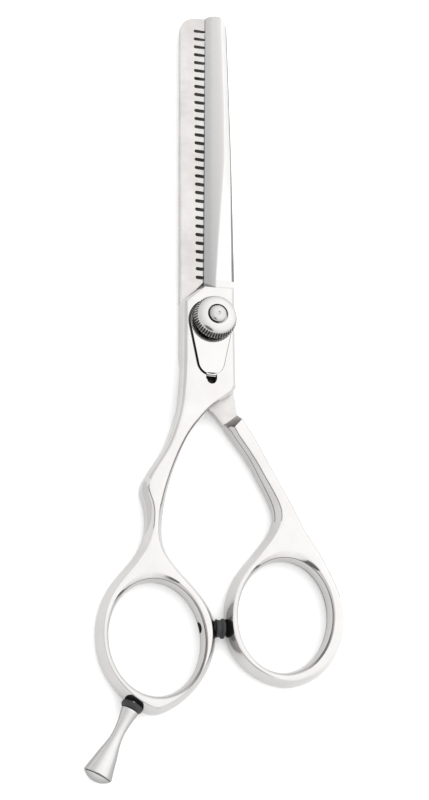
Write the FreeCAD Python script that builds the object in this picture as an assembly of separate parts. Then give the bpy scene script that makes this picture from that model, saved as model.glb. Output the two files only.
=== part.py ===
import FreeCAD, Part
import math
import os

# Thinning shears lying flat, closed. +Z is the pivot axis, +Y runs to the blade tips, +X is to
# the right.  All sizes are in millimetres.  Every shape is drawn from the middle of the tension
# plate's head and moved by BASE_SHIFT at the end, so that the origin is the middle of the
# underside.

# ---- driving dimensions ------------------------------------------------------------------
BASE_SHIFT = (-2.50, 10.78)    # from the drawing's origin to the middle of the outline
PIVOT_AT = (0.45, 0.65)        # pivot axis, from the drawing's origin

JOINT_PLANE = 3.2              # height at which the two members meet
RIDE_GAP = 0.05                # gap between the two members
RICASSO_TOP = 6.4              # front face of the cutting member round the pivot
RING_TOP = 5.4                 # front face of both finger rings
CROWN_START_Y = -20.0          # the front face starts to fall towards the ring here
CROWN_END_Y = -50.0            # and has reached the ring height here
FRONT_BEVEL = 1.25             # bevel along the front edges of the handles
BACK_BEVEL = 0.7               # bevel along the back edges of the handles
HOLE_BEVEL = 0.65              # bevel round both mouths of each ring hole

FINGER_HOLE = (-11.3, -70.4, 9.85, 11.85, 7.0)    # centre x, y, half width, half length, tilt
THUMB_HOLE = (16.75, -64.55, 10.05, 12.0, -7.0)

BLADE_ROOT_Y = 8.2             # where the blades leave the ricasso
BLADE_OVERLAP = 2.0            # how far the blades reach back into the ricasso
TIP_Y = 78.6                   # tip of the cutting blade
CUT_EDGE_ROOT_X = -1.15        # cutting edge of the cutting blade
CUT_EDGE_TIP_X = -0.80
FACE_CROWN = 0.68              # how much of the face's rise lies in the half beside the edge
# Sections of the cutting blade: y, edge x and z, ridge x and z, spine x and z.
BLADE_SECTIONS = [
    (5.2, -1.15, 4.0, 1.6, 6.2, 5.70, 4.9),
    (41.0, -0.98, 3.7, 3.2, 5.3, 5.10, 4.2),
    (79.1, -0.80, 3.5, 2.3, 4.3, 4.05, 3.8)]
# Sections of the toothed blade: y, spine x and z, belly x and z, tooth end z.
COMB_SECTIONS = [
    (6.2, -6.62, 1.5, -4.4, 0.5, 2.2),
    (79.1, -7.15, 2.4, -5.4, 1.9, 2.7)]
COMB_TIP_X = 1.0               # free ends of the teeth
SLOT_COUNT = 31
SLOT_PITCH = 2.096
FIRST_SLOT_Y = 11.55           # slot nearest the pivot, at its closed end
SLOT_WIDTH = 0.85
SLOT_ROOT_X = -2.55            # centre of the slot's round closed end, at the pivot end
SLOT_ROOT_DRIFT = -0.0115      # how the closed ends step to the left per mm towards the tip
SLOT_SLOPE = -2.0              # slope of the slots in degrees

JOURNAL_R = 2.4                # pivot bolt where the toothed member turns on it
JOURNAL_CLEARANCE = 0.05
NECK_R = 2.2                   # pivot bolt where it passes the cutting member
NECK_FLAT = 1.97               # distance from the axis to each of the neck's two flats
STUD_R = 1.93                  # threaded end of the bolt, which carries the dial
NECK_CLEARANCE = 0.02
THREAD_CLEARANCE = 0.03        # the dial and the plate round the threaded end
HEAD_R = 4.0
HEAD_CLEARANCE = 0.08
HEAD_BOTTOM = 0.12             # the head sits a little inside the back face
HEAD_TOP = 1.2
NUB_TOP = 10.7
DIMPLE_R = 0.5                 # small pit in the end of the bolt
DRIVE_SLOT = (0.9, 0.5)        # width and depth of the screwdriver slot

WASHER_R = 4.3
WASHER_BOTTOM = 2.72
WASHER_TOP = 3.24
POCKET_CLEARANCE = 0.1

PLATE_THICKNESS = 0.4
PLATE_LIFT = 0.5               # depth of the recess that the tension plate lies in
PLATE_CLEARANCE = 0.3
PLATE_HEAD_R = 4.65
PLATE_TOE_R = 3.0
PLATE_TOE_Y = -9.35
TAB_WIDTH = 2.3
TAB_END_Y = -13.0
TAB_CLEARANCE = 0.1
LIP_WIDTH = 1.4                # lip at the end of the tab, which hooks into its hole
LIP_THICKNESS = 0.3
TAB_DROP = 0.7                 # how far the tab's lip reaches down into its hole
TAB_HOLE = (0.0, -13.4, 1.1)   # round hole under the plate's tab: x, y, radius

DIAL_BOTTOM = 6.45             # just clear of the tension plate
DIAL_HUB_R = 3.8               # plain hub under the knurled rim
DIAL_RIM_R = 5.0               # widest edge, where the knurled cone starts
DIAL_RIM_LOW = 7.4
DIAL_RIM_Z = 7.75
DIAL_SHOULDER_R = 4.38         # where the knurled cone meets the dome
DIAL_SHOULDER_Z = 9.3
DIAL_TOP = 10.05
DIAL_FLUTES = 40
FLUTE_R = 0.22

BUMPER_Y = -67.7
BUMPER_Z = 2.7
BUMPER_R = 1.9
BUMPER_FLANGE_R = 2.15
BUMPER_START_X = 1.72          # where the flange lies on the finger ring
BUMPER_END_X = 3.68            # just clear of the thumb ring
BUMPER_STEM_R = 0.85
BUMPER_STEM_START_X = -1.1

REST_BASE = (-15.82, -83.99)   # middle of the seat of the finger rest on the ring
REST_LEAN = 26.3               # lean of the finger rest from -Y, degrees
REST_Z = 3.2
REST_SEAT_CLEARANCE = 0.35     # round the pad, where it sits in the ring
REST_PAD = [(2.20, 0.0), (2.35, 0.15), (2.30, 0.65), (2.08, 1.25), (1.92, 1.40)]
REST_FLARE = [(1.88, 0.0), (1.45, 2.5), (1.23, 5.2), (1.50, 7.7), (2.05, 9.9), (2.58, 12.3),
              (3.10, 14.4)]    # radius and height above the pad
REST_RIM_HEIGHT = 0.4
REST_GROOVE_DEPTH = 0.2
REST_GROOVE_HEIGHT = 0.2
REST_DOME_HEIGHT = 1.15
REST_STUD_R = 0.9
REST_STUD_DEPTH = 2.0

# ---- outlines, from the drawing's origin --------------------------------------------------
# Left side of the cutting member's handle, down round the finger ring and back up its right side.
FINGER_SIDE = [
    (-6.60, -9.0), (-6.95, -16.5), (-8.00, -23.0), (-10.10, -28.9), (-12.40, -32.8),
    (-14.30, -36.0), (-15.10, -38.6), (-14.35, -41.8), (-13.85, -45.6), (-14.60, -50.1),
    (-16.70, -53.9), (-19.60, -57.5), (-22.30, -61.6), (-23.75, -66.2), (-23.95, -71.1),
    (-22.95, -75.8), (-20.60, -80.0), (-17.70, -83.0), (-14.60, -85.1), (-11.30, -86.2),
    (-8.40, -85.3), (-3.90, -82.1), (-0.60, -77.9), (1.20, -73.6), (1.80, -69.5),
    (1.20, -65.4), (-0.70, -61.7), (-4.20, -57.7), (-7.60, -54.0), (-9.60, -50.8),
    (-10.20, -46.5), (-9.75, -40.9), (-8.30, -35.0), (-6.15, -29.0), (-3.80, -24.5),
    (-0.80, -20.6), (2.40, -17.9), (5.00, -16.2)]

# The same for the toothed member: hidden edge, inner side, thumb ring, outer side.
THUMB_SIDE = [
    (-6.60, -7.0), (-5.90, -12.0), (-3.20, -16.6), (0.65, -19.8), (2.90, -22.2),
    (5.30, -25.6), (8.65, -30.1), (11.75, -35.5), (13.80, -39.4), (14.75, -42.7),
    (14.10, -45.6), (12.50, -48.2), (9.00, -52.6), (6.00, -56.6), (4.35, -60.6),
    (3.75, -65.2), (4.20, -69.5), (5.75, -73.2), (8.70, -76.5), (12.60, -78.7),
    (16.90, -79.7), (21.50, -78.8), (25.60, -76.4), (28.70, -72.7), (30.40, -68.2),
    (30.75, -63.8), (29.80, -58.8), (27.90, -54.6), (24.60, -48.9), (20.20, -41.9),
    (15.90, -34.6), (12.00, -27.7), (9.20, -23.2), (7.25, -19.8), (6.10, -15.8),
    (5.60, -10.0)]

CUTTING_BLADE = [(-0.94, 77.5), (-0.45, 78.15), (0.95, 78.6), (2.60, 78.2), (3.75, 77.0),
                 (4.20, 74.5)]
TOOTHED_BLADE = [(-7.05, 74.0), (-6.75, 75.5), (-5.40, 77.2), (-3.30, 77.9), (-0.90, 78.2)]


# ---- small helpers -------------------------------------------------------------------------
def vec(x, y, z=0.0):
    return FreeCAD.Vector(x, y, z)


def curve(points, z=0.0):
    spline = Part.BSplineCurve()
    spline.interpolate([vec(x, y, z) for x, y in points])
    return spline.toShape()


def line(start, end, z=0.0):
    return Part.makeLine(vec(start[0], start[1], z), vec(end[0], end[1], z))


def prism(edges, bottom, top):
    wire = Part.Wire(Part.__sortEdges__(edges))
    face = Part.Face(wire)
    face.translate(vec(0, 0, bottom - face.BoundBox.ZMin))
    return face.extrude(vec(0, 0, top - bottom))


def polygon_prism(points, bottom, top):
    closed = [vec(x, y, bottom) for x, y in points]
    closed.append(closed[0])
    return Part.Face(Part.makePolygon(closed)).extrude(vec(0, 0, top - bottom))


def cylinder(radius, bottom, top, x=0.0, y=0.0):
    return Part.makeCylinder(radius, top - bottom, vec(x, y, bottom))


def turned(profile):
    """Solid of revolution about Z from (radius, height) pairs."""
    points = [vec(r, 0, z) for r, z in profile]
    points.append(points[0])
    face = Part.Face(Part.makePolygon(points))
    return face.revolve(vec(0, 0, 0), vec(0, 0, 1), 360)


def at_pivot(shape):
    """Move a shape drawn round Z onto the pivot axis."""
    shape.translate(vec(PIVOT_AT[0], PIVOT_AT[1]))
    return shape


def hole_ring(hole, height, grow):
    """Ellipse of a ring hole at a height, widened by grow."""
    x, y, half_width, half_length, tilt = hole
    edge = Part.Ellipse(vec(0, 0, 0), half_length + grow, half_width + grow).toShape()
    edge.rotate(vec(0, 0, 0), vec(0, 0, 1), 90 + tilt)
    edge.translate(vec(x, y, height))
    return Part.Wire([edge])


def hole_mouth(hole, low, high, grow_low, grow_high):
    """Flared mouth of a ring hole between two heights."""
    rings = [hole_ring(hole, low, grow_low), hole_ring(hole, high, grow_high)]
    return Part.makeLoft(rings, True, True)


def ring_hole(hole, top):
    """Hole through a ring, with a bevel at both mouths."""
    over = 0.5                     # how far the cutting shapes stand out of the ring
    tool = Part.Face(hole_ring(hole, -over, 0.0)).extrude(vec(0, 0, top + 2 * over))
    front = hole_mouth(hole, top - HOLE_BEVEL, top + over, 0.0, HOLE_BEVEL + over)
    back = hole_mouth(hole, -over, HOLE_BEVEL, HOLE_BEVEL + over, 0.0)
    return tool.fuse([front, back])


def crown_cut(reach):
    """Block above the front face: level over the ricasso, falling to the height of the rings."""
    half = 0.5 * (CROWN_START_Y + CROWN_END_Y)
    ease = 0.1                     # how far the slope's two inner poles lie from level
    steep = 7.0                    # and how far they lie from its middle
    north, south = 20.0, -110.0    # beyond both ends of the handles
    heights = [(north, RICASSO_TOP), (0, RICASSO_TOP), (0.6 * CROWN_START_Y, RICASSO_TOP),
               (CROWN_START_Y, RICASSO_TOP), (half + steep, RICASSO_TOP - ease),
               (half - steep, RING_TOP + ease), (CROWN_END_Y, RING_TOP),
               (CROWN_END_Y - 8, RING_TOP), (CROWN_END_Y - 30, RING_TOP), (south, RING_TOP)]
    poles = [vec(-reach, y, z) for y, z in heights]
    crown = Part.BSplineCurve()
    crown.buildFromPoles(poles)
    high = RICASSO_TOP + 5.0
    lid = Part.makePolygon([poles[-1], vec(-reach, south, high), vec(-reach, north, high),
                            poles[0]])
    wire = Part.Wire(Part.__sortEdges__([crown.toShape()] + lid.Edges))
    return Part.Face(wire).extrude(vec(2 * reach, 0, 0))


def soften_handle(solid):
    """Round the back edge of a handle and bevel its front edge."""
    longest = 100.0
    back = [e for e in solid.Edges if e.BoundBox.ZMax < 0.01 and e.Length > longest]
    solid = solid.makeFillet(BACK_BEVEL, back)
    front = [e for e in solid.Edges if e.BoundBox.ZMin > RING_TOP - 0.1]
    return solid.makeChamfer(FRONT_BEVEL, front)


def save(name, shape):
    shape.translate(vec(BASE_SHIFT[0], BASE_SHIFT[1], 0))
    if len(shape.Solids) == 1:
        shape = shape.Solids[0]
    assert shape.isValid(), name
    shape.exportStep("parts/%s.step" % name)
    box = shape.BoundBox
    print("%-18s solids %d  x %.2f..%.2f  y %.2f..%.2f  z %.2f..%.2f" % (
        name, len(shape.Solids), box.XMin, box.XMax, box.YMin, box.YMax, box.ZMin, box.ZMax))


# ---- cutting member: cutting blade, ricasso, handle and finger ring -------------------------
def cutting_outline():
    """Edges of the outline from the ricasso down round the finger ring."""
    right_low = (5.90, -14.6)
    right_high = (5.60, BLADE_ROOT_Y + 0.1)
    top_left = (-3.10, BLADE_ROOT_Y)
    left_high = (-6.60, 4.9)
    return [curve(FINGER_SIDE),
            line(FINGER_SIDE[-1], right_low),
            line(right_low, right_high),
            line(right_high, top_left),
            line(top_left, left_high),
            line(left_high, FINGER_SIDE[0])]


def blade_section(y, edge_x, edge_z, ridge_x, ridge_z, spine_x, spine_z):
    """Cross-section of the cutting blade: edge land, crowned face, ridge and spine."""
    flat_z = JOINT_PLANE + RIDE_GAP
    mid_x = 0.5 * (edge_x + ridge_x)
    mid_z = edge_z + FACE_CROWN * (ridge_z - edge_z)
    corners = [(edge_x, flat_z), (edge_x, edge_z), (mid_x, mid_z), (ridge_x, ridge_z),
               (spine_x, spine_z), (spine_x, flat_z)]
    points = [vec(x, y, z) for x, z in corners]
    points.append(points[0])
    return Part.makePolygon(points)


def cutting_blade():
    root, middle, tip = [blade_section(*numbers) for numbers in BLADE_SECTIONS]
    body = Part.makeLoft([root, middle], True, True)
    body = body.fuse(Part.makeLoft([middle, tip], True, True))
    start = CUTTING_BLADE[0]
    end = CUTTING_BLADE[-1]
    root_y = BLADE_ROOT_Y - BLADE_OVERLAP
    spine_middle = (BLADE_SECTIONS[1][5], BLADE_SECTIONS[1][0])
    spine_root = (5.60, root_y)
    outline = [curve(CUTTING_BLADE),
               line(end, spine_middle),
               line(spine_middle, spine_root),
               line(spine_root, (CUT_EDGE_ROOT_X, root_y)),
               line((CUT_EDGE_ROOT_X, root_y), start)]
    return body.common(prism(outline, JOINT_PLANE - 1.0, RICASSO_TOP + 1.0))


def ricasso_step():
    """Sloping facet from the ricasso's front face down to the blade beside its edge."""
    left, width = -8.0, 16.0
    high = RICASSO_TOP + 0.5
    run = 2.3
    foot_z = 4.6
    start_y = BLADE_ROOT_Y - 0.1
    profile = [vec(left, start_y, high), vec(left, start_y + run, foot_z),
               vec(left, start_y + run, high)]
    profile.append(profile[0])
    return Part.Face(Part.makePolygon(profile)).extrude(vec(width, 0, 0))


def finger_shoulder():
    """Block taken out under the ricasso, so that the toothed member can turn there."""
    upper_y, lower_y = -18.5, -23.6      # left and right end of the step across the handle
    points = [(-30, 20), (-30, upper_y), (-9.2, upper_y), (-1.2, lower_y), (12, lower_y),
              (12, 20)]
    return polygon_prism(points, -1.0, JOINT_PLANE + RIDE_GAP)


def thumb_shoulder():
    """Block taken out over the toothed ricasso; its lower side is the sloping shoulder."""
    rise = RING_TOP + 2.0 - JOINT_PLANE
    run = 0.62 * rise                    # the shoulder slopes 0.62 mm for each mm it rises
    left_end, right_end = (3.04, -22.6), (7.22, -19.96)
    low = [(-30, 20), (-30, -30), (0.9, -24.0), left_end, right_end, (30, -5.6), (30, 20)]
    down_x, down_y = 0.53 * run, -0.85 * run    # square to the line between its two ends
    high = [low[0], low[1]] + [(x + down_x, y + down_y) for x, y in low[2:6]] + [low[6]]
    wires = []
    for points, z in ((low, JOINT_PLANE), (high, JOINT_PLANE + rise)):
        corners = [vec(x, y, z) for x, y in points]
        corners.append(corners[0])
        wires.append(Part.makePolygon(corners))
    return Part.makeLoft(wires, True, True)


def rest_frame(shape):
    """Stand a shape turned about Z on the finger ring, leaning out along the rest's axis."""
    shape.rotate(vec(0, 0, 0), vec(1, 0, 0), 90)
    shape.rotate(vec(0, 0, 0), vec(0, 0, 1), -REST_LEAN)
    shape.translate(vec(REST_BASE[0], REST_BASE[1], REST_Z))
    return shape


def plate_outline(grow):
    """Teardrop round the pivot: a round head and a round toe joined by straight flanks."""
    head = PLATE_HEAD_R + grow
    toe = PLATE_TOE_R + grow
    slope = math.asin((head - toe) / -PLATE_TOE_Y)
    cos_s, sin_s = math.cos(slope), math.sin(slope)
    head_right = (head * cos_s, -head * sin_s)
    head_left = (-head * cos_s, -head * sin_s)
    toe_right = (toe * cos_s, PLATE_TOE_Y - toe * sin_s)
    toe_left = (-toe * cos_s, PLATE_TOE_Y - toe * sin_s)
    crown = Part.Arc(vec(*head_right), vec(0, head), vec(*head_left)).toShape()
    foot = Part.Arc(vec(*toe_left), vec(0, PLATE_TOE_Y - toe), vec(*toe_right)).toShape()
    return [crown, line(head_left, toe_left), foot, line(toe_right, head_right)]


def neck_hole(clearance):
    """Hole with two flats that keeps the bolt from turning in the cutting member."""
    hole = cylinder(NECK_R + clearance, 0, RICASSO_TOP + 3)
    flat = NECK_FLAT + clearance
    keep = Part.makeBox(2 * flat, 12, 12, vec(-flat, -6, -1))
    return hole.common(keep)


def bumper_axis(radius, start_x, end_x):
    return Part.makeCylinder(radius, end_x - start_x, vec(start_x, BUMPER_Y, BUMPER_Z),
                             vec(1, 0, 0))


def make_cutting_member():
    over = 1.0
    body = prism(cutting_outline(), 0, RICASSO_TOP + over).cut(crown_cut(60))
    body = soften_handle(body)
    body = body.cut(finger_shoulder())
    body = body.fuse(cutting_blade())
    body = body.cut(ricasso_step().cut(cutting_blade()))
    body = body.cut(ring_hole(FINGER_HOLE, RING_TOP))
    body = body.cut(prism(plate_outline(PLATE_CLEARANCE), RICASSO_TOP - PLATE_LIFT,
                          RICASSO_TOP + over))
    tab_bed = Part.makeBox(TAB_WIDTH + 2 * TAB_CLEARANCE, 1.5, PLATE_LIFT + over,
                           vec(-0.5 * TAB_WIDTH - TAB_CLEARANCE, TAB_END_Y - TAB_CLEARANCE,
                               RICASSO_TOP - PLATE_LIFT))
    body = body.cut(tab_bed)
    hole_x, hole_y, hole_r = TAB_HOLE
    body = body.cut(cylinder(hole_r, JOINT_PLANE + 1.0, RICASSO_TOP + over, hole_x, hole_y))
    body = body.cut(at_pivot(neck_hole(NECK_CLEARANCE)))
    body = body.cut(bumper_axis(BUMPER_STEM_R, BUMPER_STEM_START_X - 3, BUMPER_START_X + over))
    body = body.cut(bumper_axis(BUMPER_FLANGE_R + 0.4, BUMPER_START_X, BUMPER_START_X + 3))
    widest = max(radius for radius, height in REST_PAD)
    seat = rest_frame(cylinder(widest + REST_SEAT_CLEARANCE, 0, 5))
    stud = rest_frame(cylinder(REST_STUD_R, -REST_STUD_DEPTH, over))
    return body.cut(seat).cut(stud)


# ---- toothed member: toothed blade, ricasso, handle and thumb ring --------------------------
def thumb_outline():
    right_high = (5.50, BLADE_ROOT_Y)
    left_high = (-6.60, BLADE_ROOT_Y)
    return [curve(THUMB_SIDE),
            line(THUMB_SIDE[-1], right_high),
            line(right_high, left_high),
            line(left_high, THUMB_SIDE[0])]


def comb_section(y, left_x, spine_z, belly_x, belly_z, tip_z):
    corners = [(left_x, JOINT_PLANE), (left_x, spine_z), (belly_x, belly_z),
               (COMB_TIP_X, tip_z), (COMB_TIP_X, JOINT_PLANE)]
    points = [vec(x, y, z) for x, z in corners]
    points.append(points[0])
    return Part.makePolygon(points)


def toothed_blade():
    root, tip = [comb_section(*numbers) for numbers in COMB_SECTIONS]
    body = Part.makeLoft([root, tip], True, True)
    start = TOOTHED_BLADE[0]
    end = TOOTHED_BLADE[-1]
    root_y = BLADE_ROOT_Y - BLADE_OVERLAP
    spine_root = (-6.6, root_y)
    comb_root = (COMB_TIP_X, root_y)
    comb_end = (COMB_TIP_X, end[1] - 0.2)
    outline = [curve(TOOTHED_BLADE),
               line(end, comb_end),
               line(comb_end, comb_root),
               line(comb_root, spine_root),
               line(spine_root, start)]
    return body.common(prism(outline, 0.0, JOINT_PLANE))


def comb_slots():
    """The slots between the teeth, open towards the cutting edge."""
    reach = 6.0
    tools = []
    for index in range(SLOT_COUNT):
        y = FIRST_SLOT_Y + index * SLOT_PITCH
        x = SLOT_ROOT_X + SLOT_ROOT_DRIFT * (y - FIRST_SLOT_Y)
        slot = Part.makeBox(reach, SLOT_WIDTH, reach, vec(0, -0.5 * SLOT_WIDTH, -1.0))
        slot = slot.fuse(Part.makeCylinder(0.5 * SLOT_WIDTH, reach, vec(0, 0, -1.0)))
        slot.rotate(vec(0, 0, 0), vec(0, 0, 1), SLOT_SLOPE)
        slot.translate(vec(x, y, 0))
        tools.append(slot)
    return tools


def make_toothed_member():
    body = prism(thumb_outline(), 0, RICASSO_TOP + 1).cut(crown_cut(60))
    body = soften_handle(body)
    body = body.cut(thumb_shoulder())
    body = body.fuse(toothed_blade().cut(comb_slots()))
    body = body.cut(ring_hole(THUMB_HOLE, RING_TOP))
    high = RICASSO_TOP + 1
    body = body.cut(at_pivot(cylinder(HEAD_R + HEAD_CLEARANCE, -1, HEAD_TOP)))
    body = body.cut(at_pivot(cylinder(JOURNAL_R + JOURNAL_CLEARANCE, -1, high)))
    washer_r = WASHER_R + POCKET_CLEARANCE
    return body.cut(at_pivot(cylinder(washer_r, WASHER_BOTTOM - 0.02, high)))


# ---- pivot ---------------------------------------------------------------------------------
def make_pivot_bolt():
    shaft_top = JOINT_PLANE
    neck_top = RICASSO_TOP - PLATE_LIFT
    head = cylinder(HEAD_R, HEAD_BOTTOM, HEAD_TOP - 0.03)
    journal = cylinder(JOURNAL_R, HEAD_TOP - 0.1, shaft_top)
    neck = neck_hole(0.0).common(cylinder(6, shaft_top, neck_top))
    stud = cylinder(STUD_R, neck_top - 0.1, NUB_TOP - 0.5)
    nub = turned([(0, NUB_TOP - 0.6), (STUD_R, NUB_TOP - 0.6), (STUD_R, NUB_TOP - 0.45),
                  (0.85 * STUD_R, NUB_TOP - 0.15), (0.5 * STUD_R, NUB_TOP), (0, NUB_TOP)])
    body = head.fuse([journal, neck, stud, nub])
    dimple = Part.makeSphere(DIMPLE_R, vec(0, 0, NUB_TOP + 0.5 * DIMPLE_R))
    width, depth = DRIVE_SLOT
    drive = Part.makeBox(2 * HEAD_R + 2, width, depth + 1,
                         vec(-HEAD_R - 1, -0.5 * width, HEAD_BOTTOM - 1))
    return at_pivot(body.cut([dimple, drive]).removeSplitter())


def make_pivot_washer():
    ring = cylinder(WASHER_R, WASHER_BOTTOM, WASHER_TOP)
    return at_pivot(ring.cut(cylinder(JOURNAL_R + JOURNAL_CLEARANCE, 0, RICASSO_TOP)))


def make_tension_plate():
    bottom = RICASSO_TOP - PLATE_LIFT
    plate = prism(plate_outline(0.0), bottom, bottom + PLATE_THICKNESS)
    left = -0.5 * TAB_WIDTH
    tab_start_y = PLATE_TOE_Y - PLATE_TOE_R + 0.4
    tab = Part.makeBox(TAB_WIDTH, tab_start_y - TAB_END_Y, PLATE_THICKNESS,
                       vec(left, TAB_END_Y, bottom))
    lip = Part.makeBox(LIP_WIDTH, LIP_THICKNESS, PLATE_THICKNESS + TAB_DROP,
                       vec(-0.5 * LIP_WIDTH, TAB_END_Y, bottom - TAB_DROP))
    plate = plate.fuse([tab, lip])
    stud_hole = at_pivot(cylinder(STUD_R + THREAD_CLEARANCE, 0, NUB_TOP))
    return plate.cut(stud_hole).removeSplitter()


def make_tension_dial():
    bore_r = STUD_R + THREAD_CLEARANCE
    body = turned([
        (bore_r, DIAL_BOTTOM), (DIAL_HUB_R - 0.15, DIAL_BOTTOM),
        (DIAL_HUB_R, DIAL_BOTTOM + 0.15), (DIAL_HUB_R, DIAL_RIM_LOW),
        (DIAL_RIM_R - 0.2, DIAL_RIM_LOW), (DIAL_RIM_R, DIAL_RIM_LOW + 0.2),
        (DIAL_RIM_R, DIAL_RIM_Z), (DIAL_SHOULDER_R, DIAL_SHOULDER_Z),
        (0.92 * DIAL_SHOULDER_R, DIAL_SHOULDER_Z + 0.27), (0.8 * DIAL_SHOULDER_R, DIAL_TOP - 0.25),
        (0.65 * DIAL_SHOULDER_R, DIAL_TOP - 0.07), (0.52 * DIAL_SHOULDER_R, DIAL_TOP),
        (bore_r, DIAL_TOP)])
    reach = 0.4                    # the flutes run this far past both ends of the cone
    in_x = (DIAL_SHOULDER_R - DIAL_RIM_R) / (DIAL_SHOULDER_Z - DIAL_RIM_Z)
    low_z = DIAL_RIM_LOW - reach
    low_r = DIAL_RIM_R + in_x * (low_z - DIAL_RIM_Z)
    height = DIAL_SHOULDER_Z + reach - low_z
    flutes = []
    for index in range(DIAL_FLUTES):
        angle = 360.0 * index / DIAL_FLUTES
        flute = Part.makeCylinder(FLUTE_R, height, vec(low_r + 0.06, 0, low_z), vec(in_x, 0, 1))
        flute.rotate(vec(0, 0, 0), vec(0, 0, 1), angle)
        flutes.append(flute)
    return at_pivot(body.cut(flutes))


# ---- rubber bumper and finger rest ---------------------------------------------------------
def make_bumper():
    flange = bumper_axis(BUMPER_FLANGE_R, BUMPER_START_X, BUMPER_START_X + 0.55)
    shank = bumper_axis(BUMPER_R, BUMPER_START_X, BUMPER_END_X)
    rim = [e for e in shank.Edges if e.BoundBox.XMin > BUMPER_END_X - 0.01]
    shank = shank.makeFillet(0.35, rim)
    stem = bumper_axis(BUMPER_STEM_R, BUMPER_STEM_START_X, BUMPER_START_X + 0.2)
    return shank.fuse([flange, stem]).removeSplitter()


def make_rest_pad():
    low, high = REST_PAD[0][1], REST_PAD[-1][1]
    return rest_frame(turned([(REST_STUD_R, low)] + REST_PAD + [(REST_STUD_R, high)]))


def make_finger_rest():
    base = REST_PAD[-1][1]
    flare_curve = Part.BSplineCurve()
    flare_curve.interpolate([vec(radius, 0, base + height) for radius, height in REST_FLARE])
    rim_r = REST_FLARE[-1][0]
    rim_bottom = base + REST_FLARE[-1][1]
    close = Part.makePolygon([vec(rim_r, 0, rim_bottom), vec(0, 0, rim_bottom),
                              vec(0, 0, base), vec(REST_FLARE[0][0], 0, base)])
    wire = Part.Wire(Part.__sortEdges__([flare_curve.toShape()] + close.Edges))
    trumpet = Part.Face(wire).revolve(vec(0, 0, 0), vec(0, 0, 1), 360)
    rim = cylinder(rim_r, rim_bottom, rim_bottom + REST_RIM_HEIGHT)
    dome_r = rim_r - REST_GROOVE_DEPTH
    dome_base = rim_bottom + REST_RIM_HEIGHT + REST_GROOVE_HEIGHT
    collar = cylinder(dome_r, rim_bottom, dome_base)
    ball_r = (dome_r ** 2 + REST_DOME_HEIGHT ** 2) / (2 * REST_DOME_HEIGHT)
    ball = Part.makeSphere(ball_r, vec(0, 0, dome_base + REST_DOME_HEIGHT - ball_r))
    dome = ball.common(cylinder(dome_r, dome_base - 0.01, dome_base + 2 * REST_DOME_HEIGHT))
    stud = cylinder(REST_STUD_R, -REST_STUD_DEPTH + 0.1, base + 0.5)
    return rest_frame(trumpet.fuse([rim, collar, dome, stud]).removeSplitter())


def main():
    os.makedirs("parts", exist_ok=True)
    save("cutting_member", make_cutting_member())
    save("toothed_member", make_toothed_member())
    save("pivot_bolt", make_pivot_bolt())
    save("pivot_washer", make_pivot_washer())
    save("tension_plate", make_tension_plate())
    save("tension_dial", make_tension_dial())
    save("bumper", make_bumper())
    save("rest_pad", make_rest_pad())
    save("finger_rest", make_finger_rest())


main()
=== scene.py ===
import math

import bmesh
import bpy
import numpy as np
from mathutils import Matrix, Vector


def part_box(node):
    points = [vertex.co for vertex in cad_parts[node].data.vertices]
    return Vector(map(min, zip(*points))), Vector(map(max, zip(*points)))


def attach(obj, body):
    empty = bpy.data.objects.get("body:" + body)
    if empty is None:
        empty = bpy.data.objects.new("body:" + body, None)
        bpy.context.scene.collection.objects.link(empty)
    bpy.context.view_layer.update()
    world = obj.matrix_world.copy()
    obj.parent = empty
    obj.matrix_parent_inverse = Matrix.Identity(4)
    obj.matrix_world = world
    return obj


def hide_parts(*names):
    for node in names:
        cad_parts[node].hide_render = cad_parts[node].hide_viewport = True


# Thinning shears on a pale studio floor.  Lengths in the tables are millimetres from the middle
# of the tension plate's head; place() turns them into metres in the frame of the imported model.

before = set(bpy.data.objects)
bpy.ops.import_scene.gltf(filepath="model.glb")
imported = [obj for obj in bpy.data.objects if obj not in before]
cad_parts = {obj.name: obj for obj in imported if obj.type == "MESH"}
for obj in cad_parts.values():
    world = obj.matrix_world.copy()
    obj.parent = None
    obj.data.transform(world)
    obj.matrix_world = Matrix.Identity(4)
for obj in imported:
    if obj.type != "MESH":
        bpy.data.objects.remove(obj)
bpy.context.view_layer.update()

MM = 0.001
PIVOT_AT = (0.45, 0.65)
BOLT_LOW, BOLT_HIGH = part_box("pivot_bolt")
ORIGIN = (0.5 * (BOLT_LOW[0] + BOLT_HIGH[0]) - PIVOT_AT[0] * MM,
          0.5 * (BOLT_LOW[1] + BOLT_HIGH[1]) - PIVOT_AT[1] * MM)

# ---- heights ----
JOINT_PLANE = 3.2
RIDE_GAP = 0.05
RICASSO_TOP = 6.4
RING_TOP = 5.35
BELOW = -1.0
ABOVE = RICASSO_TOP + 1.0
CROWN_START_Y = -20.0
CROWN_END_Y = -50.0

# ---- outlines of the two members: pairs of left and right points down each handle ----
FINGER_PAIRS = [
    ((-3.10, 8.20), (5.60, 8.30)),
    ((-6.60, 4.90), (5.64, 4.90)),
    ((-6.60, -9.00), (5.79, -9.00)),
    ((-6.82, -14.60), (5.90, -14.60)),
    ((-6.95, -16.50), (5.00, -16.20)),
    ((-7.08, -18.20), (2.40, -17.90)),
    ((-7.32, -20.00), (-0.80, -20.60)),
    ((-7.62, -21.60), (-2.40, -22.55)),
    ((-8.15, -23.60), (-3.80, -24.50)),
    ((-10.10, -28.90), (-6.15, -29.00)),
    ((-12.40, -32.80), (-7.60, -32.80)),
    ((-14.30, -36.00), (-8.65, -36.20)),
    ((-15.10, -38.60), (-9.30, -38.90)),
    ((-14.35, -41.80), (-9.85, -41.90)),
    ((-13.85, -45.60), (-10.20, -46.00)),
    ((-14.60, -50.10), (-9.65, -50.60)),
    ((-16.70, -53.90), (-7.60, -54.00))]
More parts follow.
